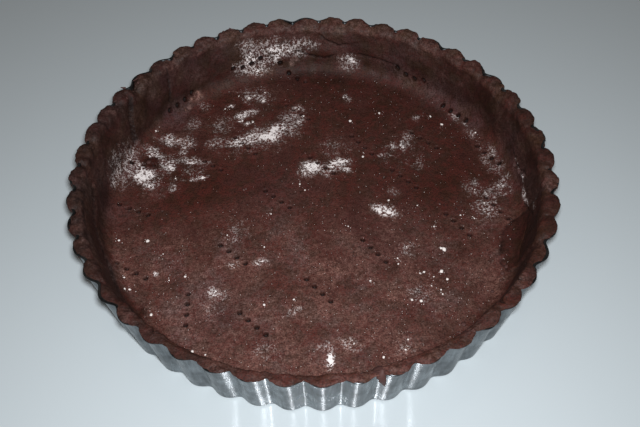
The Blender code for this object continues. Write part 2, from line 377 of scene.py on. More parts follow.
# Fork marks: (x, y, heading, holes). The four tines stand 6.75 mm apart.
TINE_PITCH = 6.75 * MM
HOLE_RADIUS = 1.35 * MM
HOLE_DEPTH = 3.0 * MM
FORK_MARKS = (
    (-22.1, 6.8, -43.3, 4),
    (34.0, -35.6, -53.1, 4),
    (0.5, -61.7, -50.3, 4),
    (85.4, -18.6, -54.7, 4),
    (-48.4, -33.9, -42.9, 4),
    (-36.3, -81.6, -45.0, 4),
    (-72.7, -70.7, -90.3, 4),
    (-106.2, -43.1, -32.3, 4),
    (-109.7, 2.7, -26.6, 4),
    (-41.4, 119.8, 20.2, 4),
    (-85.8, 91.1, -134.4, 4),
    (-63.1, 37.1, -36.9, 3),
    (-111.1, 40.3, -8.0, 4),
    (-42.8, 53.9, -48.0, 4),
    (-8.1, 83.5, -44.6, 4),
    (6.2, 33.6, -45.2, 4),
    (33.1, 50.2, -54.5, 4),
    (74.0, 52.3, -44.7, 4),
    (57.6, 19.5, -49.3, 4),
    (-10.1, 119.5, -31.9, 4),
    (70.0, 105.1, -34.6, 4),
    (96.7, 74.3, -50.1, 4),
    (113.1, 36.3, -58.9, 4),
    (126.4, 11.3, -81.1, 3),
    (111.2, -7.2, -59.9, 4),
)

# Patches of flour: (x, y, z, half length, half width, heading, strength).
DUST = (
    # left
    (-106, 30, 5, 7, 5.5, -50, 1.6), (-110, 38, 5, 4, 5, 0, 1.0), (-102, 50, 5, 7, 5, -45, 0.72),
    (-95, 41, 5, 9, 4, -30, 0.85), (-91, 37, 5, 4, 3.5, 0, 1.2), (-77, 41, 5, 11, 3.5, -5, 0.68),
    (-90, 60, 5, 10, 5, -25, 0.72), (-82, 57, 5, 6, 6, 0, 0.6), (-83, 49, 5, 4, 5, 0, 0.5),
    (-118, 38, 6, 9, 17, -10, 0.42), (-122, 26, 9, 6, 9, 0, 0.42), (-88, 19, 5, 2.5, 4, 0, 0.55),
    (-74, 26, 5, 8, 1.2, 12, 0.62), (-68, 26.5, 5, 3, 1.4, 25, 0.8), (-101, 23, 5, 5, 3, 0, 0.7),
    (-75, 33, 5, 10, 5, 0, 0.26), (-100, 34, 5, 22, 22, 0, 0.24),
    # streak in the middle
    (-47, 57, 5, 9, 4.5, 10, 0.75), (-33, 62, 5, 13, 6, 22, 0.95), (-22, 67, 5, 7, 4, 40, 1.5),
    (-27, 61, 5, 9, 4, 15, 1.4), (-12, 76, 5, 10, 8, 60, 0.5), (-12, 66, 5, 6, 6, 0, 0.45),
    (-8, 85, 5, 6, 5, 0, 0.42), (-43, 83, 5, 8, 3.2, 15, 0.95), (-36, 86, 5, 4, 2.5, 0, 0.6),
    (-46, 77, 5, 2.2, 2, 0, 0.7), (-42, 74, 5, 2, 2, 0, 0.7), (-53, 91, 5, 3.2, 2, 0, 0.75),
    (-41, 98, 5, 4, 3, 30, 0.8), (-31, 96, 5, 2.4, 3, 0, 0.8), (-36, 101, 5, 14, 10, 0, 0.32),
    (-59, 73, 5, 9, 11, 0, 0.3), (-79, 74, 5, 8, 8, 0, 0.3), (-71, 92, 5, 5, 5, 0, 0.3),
    (-30, 60, 5, 30, 14, 20, 0.25), (-62, 57, 5, 8, 6, 0, 0.35),
    # right
    (0, 31, 5, 6.5, 6, 0, 1.1), (-5, 28, 5, 4, 3, 0, 0.8), (17, 34, 5, 6, 3.6, 10, 1.5),
    (22, 28.5, 5, 3, 2, -20, 0.9), (10, 29, 5, 8, 6, 0, 0.4), (16, 48, 5, 15, 13, 0, 0.2),
    (53, 48, 5, 3.2, 4, 0, 0.85), (61, 49, 5, 3, 6, -20, 0.8), (64, 57, 5, 4, 5, 0, 0.45),
    (47, 39, 5, 4.5, 1.8, 0, 0.8), (67, 31, 5, 4, 6, 0, 0.34), (105, 56, 5, 3, 6, 25, 0.5),
    (98, 70, 6, 5, 2, -50, 0.4), (104, 65, 6, 5, 2, -50, 0.4), (43, -6.5, 5, 7, 3.8, -30, 1.5),
    (50, 9, 5, 4, 4, 0, 0.42), (118, 10, 5.5, 5, 7, -10, 0.58), (109, 5, 5, 6, 6, 0, 0.42),
    (104, -8, 5, 10, 9, 0, 0.38), (99, 10, 5, 7, 9, 0, 0.32), (114, 32, 5, 7, 16, 15, 0.34),
    (26, 95, 5, 3, 5, 0, 0.45), (71, 73, 5, 3, 4, 0, 0.4), (60, 40, 5, 22, 26, 0, 0.15),
    # front
    (4.5, -106, 5, 4.6, 1.7, 90, 1.3), (3, -99, 5, 6, 4, 0, 0.35), (-48, -42, 5, 4, 3, 0, 0.48),
    (-32, -41, 5, 5, 2.2, 0, 0.55), (-58, -60, 5, 4, 3, -40, 0.75), (-53, -62, 5, 5, 4, 0, 0.4),
    (-14, -75, 5, 6, 2.4, 30, 0.45), (-60, -70, 5, 10, 9, 0, 0.22), (-47, -18, 5, 12, 14, 0, 0.2),
    (53, -36, 5, 7, 8, 0, 0.25), (57, -66, 5, 10, 9, 0, 0.24), (-92, -46, 5, 2, 3, 20, 0.6),
    (16, -97, 5, 8, 6, 0, 0.28), (-30, -100, 5, 12, 8, 0, 0.2), (45, -100, 5, 9, 7, 0, 0.24),
    # walls and corner
    (-38.6, 122.4, 20.7, 9, 6, 17, 0.78), (-18.4, 127.4, 22.7, 10, 6, 8, 0.76), (-23, 126, 19, 8, 6, 10, 0.66),
    (-29, 125.5, 22, 9, 7, 13, 0.55), (-39.8, 120.6, 14.3, 8, 5, 18, 0.66), (-33, 120.6, 10, 8, 3.5, 15, 0.6),
    (-31, 123.1, 14.4, 8, 6, 15, 0.56), (-10, 128.6, 24, 9, 6, 5, 0.5), (0, 129.5, 26, 9, 5, 0, 0.42),
    (-4.6, 128.1, 19.7, 6, 5, 2, 0.42), (-39.9, 123.7, 30.1, 9, 5, 17, 0.40), (-27, 127, 30, 11, 5, 12, 0.38),
    (-47, 118, 16, 6, 6, 22, 0.4), (30, 122.9, 13.4, 7, 5.5, -14, 0.66), (31.5, 122.7, 14.5, 3, 2.5, -14, 1.0),
    (-124, 35, 17, 9, 7, 106, 0.45), (126.6, 18, 17, 6, 1.4, 98, 0.8), (127.4, 5, 17.5, 5, 1.3, 92, 0.75),
    (126.8, -6, 14.5, 6, 1.8, 87, 1.05), (126.5, -15, 17, 6, 1.6, 82, 0.95), (126.4, -26, 27, 6, 2.6, 77, 0.95),
)

# Bare places in the flour: (x, y, reach).
BARE = ((-102.5, 41, 5.5), (-107, 45, 3), (-86, 31, 5))

# Smears of buttery, paler dough: (x, y, z, reach, strength).
SMEARS = (
    (-75, 98, 9, 3.2, 0.24), (-79, 95, 9, 1.8, 0.25), (-81, 90, 6, 1.8, 0.22), (-83, 88, 6, 1.3, 0.16),
    (-8, 127, 15, 2.4, 0.22), (-11, 126, 12, 2.0, 0.16), (-86, 62, 5, 5.0, 0.07), (-98, 16, 5, 7.0, 0.05),
)

# Greyish purple, paler patches on the dough: (x, y, z, reach, strength).
PURPLE_PATCHES = (
    (-90, 82, 8, 16, 0.8), (-101, 78, 24, 10, 0.5), (-93, 92, 32, 14, 0.6), (-78, 105, 30, 16, 0.6),
    (-62, 119, 34, 16, 0.5), (-128, 58, 38, 14, 0.7), (-120, 62, 30, 12, 0.5), (-127, 16, 20, 12, 0.5),
    (-126, -2, 12, 12, 0.6), (-118, 34, 8, 14, 0.5), (-116, 0, 5, 12, 0.3), (89, 90, 12, 14, 0.7),
    (101, 76, 12, 12, 0.8), (110, 62, 12, 10, 0.7), (64, 112, 18, 16, 0.6), (30, 126, 24, 14, 0.5),
    (125, 28, 18, 14, 0.6), (126, 12, 14, 12, 0.7), (127, -8, 22, 12, 0.5), (-4, 130, 30, 14, 0.25),
    (-44, 124, 34, 16, 0.25), (-20, 15, 5, 26, 0.25), (40, -30, 5, 30, 0.2), (-60, -70, 5, 24, 0.3),
)


def soft_step(value):
    value = min(max(value, 0), 1)
    return value * value * (3 - 2 * value)


def bell(distance, breadth):
    return math.exp(-4 * (distance / breadth) ** 2)


def uneven(point, size, shift=(0, 0, 0)):
    """Noise between -1 and 1 with a feature size in millimetres."""
    return noise.noise(point / (size * MM) + Vector(shift))


def arc_between(angle, degrees):
    """Signed angle from a place given in degrees."""
    return (angle - math.radians(degrees) + math.pi) % (2 * math.pi) - math.pi


def front_share(angle):
    """1 at the front of the case and 0 at its back."""
    return 0.5 - 0.5 * math.sin(angle)


def wall_radius(height):
    """Radius of the case's plain inside at a height."""
    if height < WALL_FOOT_HEIGHT:
        across = CORNER_RADIUS ** 2 - (CORNER_HEIGHT - height) ** 2
        return CORNER_MIDDLE + math.sqrt(max(across, 0))
    return WALL_FOOT + (height - WALL_FOOT_HEIGHT) * math.tan(WALL_LEAN)


def floor_height(radius):
    """Height of the case's plain inside at a radius."""
    if radius <= CORNER_MIDDLE:
        return FLOOR_TOP
    if radius < WALL_FOOT:
        return CORNER_HEIGHT - math.sqrt(CORNER_RADIUS ** 2 - (radius - CORNER_MIDDLE) ** 2)
    return WALL_FOOT_HEIGHT + (radius - WALL_FOOT) / math.tan(WALL_LEAN)


def knob_share(angle):
    """1 in the middle of a knob of dough, 0 in the sharp notch between two knobs."""
    return abs(math.cos(FLUTES / 2 * angle)) ** 0.8


def knob_rise(angle):
    """Height of each knob over the rim, a little different from knob to knob."""
    number = round(angle * FLUTES / (2 * math.pi))
    rise = 0.95 + 0.8 * noise.noise(Vector((number * 1.37, 4.1, 0)))
    return rise * (1 - 0.4 * front_share(angle)) * MM


def rim_height(angle):
    """Height of the rim's crown."""
    waves = sum(h * math.sin(n * angle + math.radians(p)) for n, h, p in RIM_WAVES)
    drop = sum(d * bell(arc_between(angle, a) * RIM_RADIUS, b) for a, b, d in RIM_DIPS)
    return RIM_TOP + waves - drop


def notch_depth(angle):
    """How far the rim sinks in the notch between two knobs."""
    deep = 1.1 - 0.8 * front_share(angle)
    return deep * MM * (1 - knob_share(angle)) ** 1.3


def rim_inner(angle):
    """Radius of the rim's inner edge: thinner in front, scalloped by the knobs."""
    thin = 1.8 * MM * bell(arc_between(angle, 268), 1.6)
    wave = 0.5 * MM * noise.noise(at(4, angle, 9)) + 0.3 * MM * noise.noise(at(40, angle, 2))
    scallop = (0.5 - 0.4 * front_share(angle)) * MM
    return RIM_INNER + thin + wave + scallop * (0.5 - knob_share(angle))


def inner_round(angle):
    """Breadth of the rim's rounded inner edge, smaller in front."""
    return INNER_ROUND * (1 - 0.7 * front_share(angle))


def rim_edge(angle):
    """Outermost radius of the dough, which laps over the tin's edge and rounds each flute out."""
    notch = math.floor(angle * FLUTES / (2 * math.pi))
    filled = 0.75 * front_share(angle) * max(noise.noise(Vector((notch * 2.3, 1.7, 5))) + 0.15, 0)
    share = max(knob_share(angle), crest_share(angle), filled)
    short = 0.1 + 0.5 * noise.noise(at(17, angle, 3)) + 0.25 * noise.noise(at(60, angle, 8))
    back = sum(0.9 * d * bell(arc_between(angle, a) * RIM_RADIUS, b) for a, b, d in RIM_DIPS)
    short = max(short, 0.08) * MM + back
    most = (3.2 - 2.9 * front_share(angle) ** 3) * MM
    return RIM_RADIUS - FLUTE_DEPTH_RIM * (1 - share) - min(short, most)


def dough_outer(angle, height):
    """Outer radius of the dough inside the tin's flutes."""
    crest = tin_crest(height) - SHEET - DOUGH_GAP
    return crest - flute_depth(height) * (1 - crest_share(angle))


def inside_rings():
    """Rings from the floor's edge up the corner and the wall."""
    rings = []
    for step in range(1, 17):
        turn = (math.pi / 2 - WALL_LEAN) * step / 16
        radius = CORNER_MIDDLE + CORNER_RADIUS * math.sin(turn)
        height = CORNER_HEIGHT - CORNER_RADIUS * math.cos(turn)
        rings.append(lambda angle, r=radius, h=height: at(r, angle, h))
    for step in range(1, 21):
        share = step / 20

        def place(angle, share=share):
            top = rim_height(angle) - notch_depth(angle) - INNER_DROP
            height = WALL_FOOT_HEIGHT + (top - WALL_FOOT_HEIGHT) * share
            flare = (rim_inner(angle) - wall_radius(top)) * share ** 1.5
            return at(wall_radius(height) + flare, angle, height)

        rings.append(place)
    return rings


def rim_rings():
    """Rings over the cut rim, from its rounded inner edge to its outer edge."""
    rings = []
    for step in range(1, 6):
        turn = math.radians(90 * step / 5)

        def inner_edge(angle, turn=turn):
            top = rim_height(angle) - notch_depth(angle) - INNER_DROP * (1 - math.sin(turn))
            return at(rim_inner(angle) + inner_round(angle) * (1 - math.cos(turn)), angle, top)

        rings.append(inner_edge)
    for step in range(1, 8):
        share = step / 7

        def top_face(angle, share=share):
            top = rim_height(angle) - notch_depth(angle)
            inner = rim_inner(angle) + inner_round(angle)
            outer = rim_edge(angle) - KNOB_EDGE
            dome = knob_rise(angle) * math.sin(0.8 * math.pi * share) * knob_share(angle)
            return at(inner + (outer - inner) * share, angle, top + dome)

        rings.append(top_face)
    for turn_degrees in (30, 60, 90):
        turn = math.radians(turn_degrees)

        def outer_edge(angle, turn=turn):
            dome = knob_rise(angle) * math.sin(0.8 * math.pi) * knob_share(angle)
            height = rim_height(angle) - notch_depth(angle) + dome - KNOB_SIDE * (1 - math.cos(turn))
            return at(rim_edge(angle) - KNOB_EDGE * (1 - math.sin(turn)), angle, height)

        rings.append(outer_edge)
    return rings


def outside_rings():
    """Rings down the dough's hidden outside to its underside."""
    rings = []
    for height in (37.4 * MM, 36 * MM, 25 * MM, 15 * MM, 3.4 * MM):
        rings.append(lambda angle, h=height: at(dough_outer(angle, h), angle, h))
    foot = BASE_RADIUS - SHEET - 3.6 * MM

    def underside(angle):
        return at(foot - BASE_FLUTE * (1 - crest_share(angle)), angle, SHEET + DOUGH_GAP)

    rings.append(underside)
    return rings


def fork_holes():
    """Each tine hole as (x, y, point on the plain surface, direction into the dough)."""
    holes = []
    for x, y, heading, count in FORK_MARKS:
        along = at(TINE_PITCH, math.radians(heading), 0)
        for number in range(count):
            spot = Vector((x * MM, y * MM, 0)) + along * (number - (count - 1) / 2)
            radius = spot.length
            slope = math.atan2(floor_height(radius + 0.1 * MM) - floor_height(radius - 0.1 * MM), 0.2 * MM)
            spot.z = floor_height(radius)
            into = at(math.sin(slope), angle_of(spot), -math.cos(slope))
            holes.append((spot.x / MM, spot.y / MM, spot, into))
    return holes


def by_bucket(entries, reach_of):
    """Sorts entries that begin with x and y in millimetres into square buckets."""
    buckets = {}
    for entry in entries:
        reach = reach_of(entry)
        low_x, high_x = (math.floor((entry[0] + side * reach) / BUCKET) for side in (-1, 1))
        low_y, high_y = (math.floor((entry[1] + side * reach) / BUCKET) for side in (-1, 1))
        for column in range(low_x, high_x + 1):
            for row in range(low_y, high_y + 1):
                buckets.setdefault((column, row), []).append(entry)
    return buckets


def in_bucket(buckets, point):
    return buckets.get((math.floor(point.x / MM / BUCKET), math.floor(point.y / MM / BUCKET)), ())


def from_segment(point, start, end):
    """Distance from a segment in 3D."""
    along = end - start
    share = min(max((point - start).dot(along) / along.length_squared, 0), 1)
    return (point - (start + along * share)).length


def fold_relief(point, angle):
    """Rise of the folds at a place on the wall, and the painted shade in their grooves."""
    rise = dark = 0.0
    for points, lift, fade, depth, half in FOLDS:
        middle = points[len(points) // 2][0]
        if abs(arc_between(angle, middle)) * RIM_RADIUS > 42 * MM:
            continue
        places = [at(wall_radius(h * MM), math.radians(a), h * MM) for a, h in points]
        pairs = list(zip(places, places[1:]))
        distances = [from_segment(point, a, b) for a, b in pairs]
        near = distances.index(min(distances))
        distance = distances[near] / MM
        if distance > 4 * fade:
            continue
        a, b = pairs[near]
        outward = at(1, angle, 0)
        side = (b - a).cross(point - a).dot(outward)
        groove = math.exp(-(distance / half) ** 2)
        if side < 0:
            rise += (lift * math.exp(-distance / fade) - depth * 0.5 * groove) * MM
        else:
            rise -= depth * groove * MM
        dark = max(dark, groove)
    return rise, dark


def lump_relief(angle, height):
    return sum(
        push * bell(arc_between(angle, where) * FLOOR_EDGE, breadth) * bell(height - level, rise)
        for where, level, breadth, rise, push in WALL_LUMPS
    )


def split_share(point, angle):
    """1 in the middle of a split in the rim."""
    deepest = 0.0
    for where, half, start, end in SPLITS:
        wander = 1.1 * MM * uneven(point, 3)
        across = abs(arc_between(angle, where) * RIM_RADIUS + wander)
        radius = point.xy.length
        ends = soft_step((radius - start) / (2 * MM)) * soft_step((end - radius) / (1.5 * MM))
        deepest = max(deepest, ends * soft_step((half * 1.6 - across) / half))
    return deepest


def inside_by(point, corners):
    """How far a place lies inside an outline drawn in plan, below 0 outside it."""
    x, y = point.x / MM, point.y / MM
    inside, nearest = False, 99.0
    for (ax, ay), (bx, by) in zip(corners, corners[1:] + corners[:1]):
        dx, dy = bx - ax, by - ay
        share = min(max(((x - ax) * dx + (y - ay) * dy) / (dx * dx + dy * dy), 0), 1)
        nearest = min(nearest, math.hypot(x - ax - dx * share, y - ay - dy * share))
        if (ay > y) != (by > y) and x < ax + dx * (y - ay) / dy:
            inside = not inside
    return nearest if inside else -nearest


def flap_relief(point):
    """Rise of the flaps, the share of them that covers a place, and the painted shadow along their edge."""
    rise = cover = edge = 0.0
    for thickness, corners in FLAPS:
        if math.hypot(point.x / MM - corners[0][0], point.y / MM - corners[0][1]) > 50:
            continue
        depth = inside_by(point, corners) + 1.4 * uneven(point, 4)
        share = soft_step((depth + 0.3) / 1.3)
        rise += thickness * share
        cover = max(cover, share)
        edge = max(edge, bell(depth + 0.7, 1.6) * thickness / MM)
    return rise, cover, edge


def handling_relief(point, wall):
    """Unevenness left by rolling and pressing, in metres along the surface's normal."""
    broad = 0.35 * uneven(point, 24)
    medium = 0.20 * uneven(point, 8, (5, 0, 0))
    fine = 0.09 * uneven(point, 2.4, (0, 7, 0))
    pressed = 0.55 * noise.noise(Vector((point.x / (13 * MM), point.y / (13 * MM), point.z / (26 * MM))))
    dents = 0.40 * uneven(point, 5, (0, 0, 3))
    return (broad + medium + fine + wall * (pressed + dents)) * MM


def plain_case():
    """The case before handling: a fine grid for the floor, rings for the rest."""
    bm = bmesh.new()
    cells = round(2 * FLOOR_EDGE / CELL)
    bmesh.ops.create_grid(bm, x_segments=cells, y_segments=cells, size=FLOOR_EDGE)
    bmesh.ops.translate(bm, verts=bm.verts, vec=(0, 0, FLOOR_TOP))
    beyond = [v for v in bm.verts if v.co.xy.length > FLOOR_EDGE - 0.7 * MM]
    bmesh.ops.delete(bm, geom=beyond, context="VERTS")
    loose = [v for v in bm.verts if not v.link_faces]
    bmesh.ops.delete(bm, geom=loose, context="VERTS")
    inner_edges = [e for e in bm.edges if e.is_boundary]
    circle = bmesh.ops.create_circle(
        bm, segments=DOUGH_STEPS, radius=FLOOR_EDGE, matrix=Matrix.Translation((0, 0, FLOOR_TOP))
    )
    outer_edges = list({e for v in circle["verts"] for e in v.link_edges})
    bmesh.ops.triangle_fill(bm, edges=inner_edges + outer_edges, use_beauty=True, normal=(0, 0, 1))
    seen = bm.verts.layers.float.new("seen")
    rim = bm.verts.layers.float.new("rim")
    for vert in bm.verts:
        vert[seen] = 1
    edges = grow_rings(bm, outer_edges, inside_rings())
    for vert in bm.verts:
        vert[seen] = 1
    known = set(bm.verts)
    edges = grow_rings(bm, edges, rim_rings())
    for vert in bm.verts:
        if vert not in known:
            vert[seen] = 1
            vert[rim] = 1
    known = set(bm.verts)
    edges = grow_rings(bm, edges, outside_rings())
    for vert in bm.verts:
        if vert not in known:
            vert[seen] = 0
            vert[rim] = 0
    bmesh.ops.holes_fill(bm, edges=edges, sides=DOUGH_STEPS)
    bmesh.ops.recalc_face_normals(bm, faces=bm.faces)
    return bm, seen, rim


def refine_round(bm, holes, reach):
    """Cuts the mesh finer round each hole."""
    near = []
    for edge in bm.edges:
        middle = (edge.verts[0].co + edge.verts[1].co) / 2
        if any((middle - spot).length < reach for _, _, spot, _ in in_bucket(holes, middle)):
            near.append(edge)
    bmesh.ops.subdivide_edges(bm, edges=near, cuts=2, use_grid_fill=True)


def dust_at(point, patches):
    """Strength of the flour at a place."""
    warp = Vector((uneven(point, 7), uneven(point, 7, (9, 0, 0)), 0))
    warp += 0.6 * Vector((uneven(point, 2.5), uneven(point, 2.5, (9, 0, 0)), 0))
    x, y, z = point / MM + 2.2 * warp
    total = 0.0
    for px, py, pz, length, width, heading, strength in in_bucket(patches, point):
        dx, dy, dz = x - px, y - py, z - pz
        cosine, sine = math.cos(math.radians(heading)), math.sin(math.radians(heading))
        along = dx * cosine + dy * sine
        across = math.sqrt(max(dx * dx + dy * dy + dz * dz - along * along, 0))
        reach = math.hypot(along / length, across / width)
        total = max(total, strength * math.exp(-0.95 * reach ** 2.2))
    for bx, by, bare in BARE:
        total *= 1 - bell(math.hypot(x - bx, y - by), bare * 1.4)
    return total * (0.9 + 0.75 * uneven(point, 4.5, (0, 6, 0)))


def film_and_sheen_at(point, wall):
    """Share of the thin coat of flour, with a painted sheen that brightens the front: thickest in front, thin
    at the back and on both sides.
    """
    y = point.y / MM
    film_and_sheen = 0.022 + 0.082 * soft_step((20 - y) / 55)
    film_and_sheen -= 0.035 * bell(math.hypot(point.x / MM + 80, y - 8), 60)
    film_and_sheen -= 0.030 * bell(math.hypot(point.x / MM - 78, y), 75)
    film_and_sheen *= 1 + 0.8 * uneven(point, 17) + 0.5 * uneven(point, 7)
    smear = max(0.5 + 1.6 * uneven(point, 15, (4, 0, 0)), 0)
    film_and_sheen = max(film_and_sheen, 0) * (1 - 0.75 * wall) + 0.035 * wall * smear
    for x, y, z, reach, strength in SMEARS:
        away = (point - Vector((x, y, z)) * MM).length / MM + 1.5 * uneven(point, 2.5)
        film_and_sheen += strength * soft_step(1.5 - away / reach)
    return film_and_sheen


def purple_patch_at(point):
    """Share of the greyish purple patches at a place."""
    total = 0.0
    for x, y, z, reach, strength in PURPLE_PATCHES:
        away = (point - Vector((x, y, z)) * MM).length / MM
        if away < 1.3 * reach:
            total = max(total, strength * bell(away + 4 * uneven(point, 6), 1.6 * reach))
    return total


# Masks that the dough's colour reads. The first is painted shade: near black in the tine holes, fold grooves,
# rim notches and splits, and a darkening of the walls, the rim, the back corner and the flap edges.
DOUGH_MASKS = ("hollow", "flour", "film_and_sheen", "purple_patch", "olive")


def cocoa_dough():
    made, tree, shader = new_material("cocoa_dough", Specular_IOR_Level=0.25)
    tone = grain(tree, 17 * MM, 2)
    blotch = grain(tree, 6.5 * MM, 4, roughness=0.6)
    fleck = grain(tree, 0.8 * MM, 1, roughness=0.6)
    mote = grain(tree, 0.85 * MM, 2, roughness=0.6)
    clump = grain(tree, 2.6 * MM, 3, roughness=0.65)
    hollow, flour, film_and_sheen, purple_patch, olive = (
        node(tree, "ShaderNodeAttribute", attribute_name=mask).outputs["Fac"] for mask in DOUGH_MASKS
    )
    red = remap(tree, blotch, 0.42, 0.58)
    colour = blend_colours(tree, red, (0.043, 0.0142, 0.0078), (0.068, 0.0130, 0.0082))
    colour = blend_colours(tree, remap(tree, tone, 0.5, 0.65, 0, 0.7), colour, (0.052, 0.0143, 0.0115))
    colour = blend_colours(tree, olive, colour, (0.042, 0.0172, 0.0060))
    purple_share = combine(tree, "MULTIPLY", purple_patch, remap(tree, clump, 0.35, 0.62, 0.3, 1.0))
    colour = blend_colours(tree, purple_share, colour, (0.078, 0.041, 0.046))
    colour = blend_colours(tree, remap(tree, fleck, 0.52, 0.36, 0, 0.8), colour, (0.014, 0.0038, 0.0026))
    # Painted shade, from the first mask, mixed over the dough's colour.
    colour = blend_colours(tree, hollow, colour, (0.006, 0.002, 0.0016))
    # Flour film, which also paints the sheen towards the front.
    veil = combine(tree, "MULTIPLY", film_and_sheen, remap(tree, mote, 0.32, 0.70, 0.1, 1.6))
    veil = combine(tree, "MULTIPLY", veil, remap(tree, clump, 0.36, 0.66, 0.35, 1.75))
    powder = blend_colours(tree, remap(tree, tone, 0.35, 0.6), (0.46, 0.31, 0.29), (0.57, 0.31, 0.25))
    colour = blend_colours(tree, veil, colour, powder)
    curd = grain(tree, 1.7 * MM, 2, roughness=0.6)
    broken = combine(tree, "ADD", combine(tree, "MULTIPLY", mote, 4.0), combine(tree, "MULTIPLY", curd, 9.0))
    heaped = combine(tree, "POWER", flour, 1.4)
    cover = combine(tree, "MULTIPLY", combine(tree, "ADD", broken, -5.85), heaped)
    cover = combine(tree, "ADD", cover, remap(tree, flour, 0.85, 1.4, 0, 1.6))
    colour = blend_colours(tree, remap(tree, cover, 0.07, 1.12, 0, 0.97), colour, (0.95, 0.91, 0.90))
    tree.links.new(colour, shader.inputs["Base Color"])
    tree.links.new(remap(tree, blotch, 0.3, 0.7, 0.5, 0.75), shader.inputs["Roughness"])
    normal = bump(tree, clump, 0.55 * MM)
    normal = bump(tree, fleck, 0.18 * MM, normal)
    tree.links.new(normal, shader.inputs["Normal"])
    return made


def wall_relief(point, angle, wall, rim):
    """Rise and painted shade that the wall adds at a place, and the lumps' share of the rise."""
    fold, dark = fold_relief(point, angle)
    lump = lump_relief(angle, point.z)
    top = soft_step((point.z - 15 * MM) / (20 * MM))
    scallop = 0.8 * MM * (crest_share(angle) - 0.6) * top * (1 - rim)
    rise = (fold + lump * (1 - 0.6 * rim)) * wall - scallop
    # Painted shade: the wall darker throughout and more so towards both sides, the rim darker towards both
    # sides and most on the left, mottled, and the back fillet darker; all of it fades in above the corner's
    # foot.
    side, front, left = abs(math.cos(angle)), front_share(angle), max(-math.cos(angle), 0)
    on_wall = 0.22 + 0.34 * side + 0.10 * front
    on_rim = 0.06 + 0.30 * side + 0.34 * left + 0.10 * front ** 2 + 0.35 * uneven(point, 5)
    foot = (4 + 7 * max(math.cos(angle), 0) + left) * MM
    above = soft_step((point.z - foot) / (9 * MM))
    on_wall += 0.18 * (1 - front) * bell(point.z - 9 * MM, 12 * MM)
    dark = max(dark, (on_wall + (on_rim - on_wall) * rim) * wall * above)
    return rise, dark, lump


def press_holes(point, wall, holes, move):
    """Adds the tine holes to a place's move, and returns how deep in a hole it lies."""
    deep = 0.0
    for _, _, spot, into in in_bucket(holes, point):
        away = point - spot
        if away.length < 6 * MM:
            away = (away - into * away.dot(into)).length
            hole = HOLE_RADIUS * (1 + 0.25 * wall)
            sink = soft_step((hole * 1.25 - away) / (hole * 0.55))
            heave = 0.2 * MM * bell(away - hole * 1.5, 1.2 * MM)
            move += into * (HOLE_DEPTH * sink - heave)
            deep = max(deep, sink)
    return deep


def trim_rim(vert):
    """Keeps the handled rim inside its cut edge and laps it over the tin in front."""
    limit = min(rim_edge(angle_of(vert.co)) + 0.3 * MM, RIM_RADIUS - 0.05 * MM)
    if vert.co.xy.length > limit:
        vert.co.xy *= limit / vert.co.xy.length
    if vert.co.z > KNOB_TOP:
        vert.co.z = KNOB_TOP + 0.4 * (vert.co.z - KNOB_TOP)
    in_front = soft_step(3 * front_share(angle_of(vert.co)) - 1.9)
    lap = soft_step((vert.co.xy.length - 133.5 * MM) / MM) * in_front
    vert.co.z += lap * max(RIM_HEIGHT + 0.25 * MM - vert.co.z, 0)


